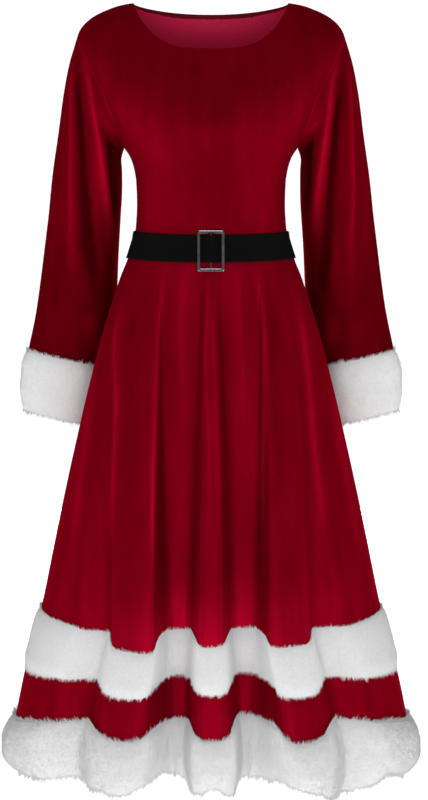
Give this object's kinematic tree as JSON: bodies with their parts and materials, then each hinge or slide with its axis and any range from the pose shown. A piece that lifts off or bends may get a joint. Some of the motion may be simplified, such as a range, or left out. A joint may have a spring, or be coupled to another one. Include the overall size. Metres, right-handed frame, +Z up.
{
  "type": "christmas costume dress",
  "caption": "Long-sleeved velvet costume dress with a scoop neck, a flared folded skirt, fur cuffs, fur bands at the hem and a belt with a slide buckle.",
  "frame": {"origin": "midway between the two shoulder points beside the neck, where the wearer's shoulders carry the dress", "axes": "+Z up, +X to the right of somebody who faces the dress, so the dress's front faces -Y"},
  "size_m": [0.6496, 0.5537, 1.1599],
  "materials": {
    "velvet": "crimson stretch velvet",
    "fur": "white plush fake fur",
    "webbing": "black woven elastic",
    "buckle_metal": "polished gunmetal"
  },
  "bodies": {
    "root": {"bodice_front": "velvet", "bodice_back": "velvet", "sleeve_left": "velvet", "sleeve_right": "velvet", "cuff_left": "fur", "cuff_right": "fur", "skirt_tier_front": "velvet", "skirt_tier_back": "velvet", "fur_band_front": "fur", "fur_band_back": "fur", "velvet_band_front": "velvet", "velvet_band_back": "velvet", "fur_hem_front": "fur", "fur_hem_back": "fur", "belt": "webbing", "belt_buckle": "buckle_metal"}
  },
  "joints": []
}
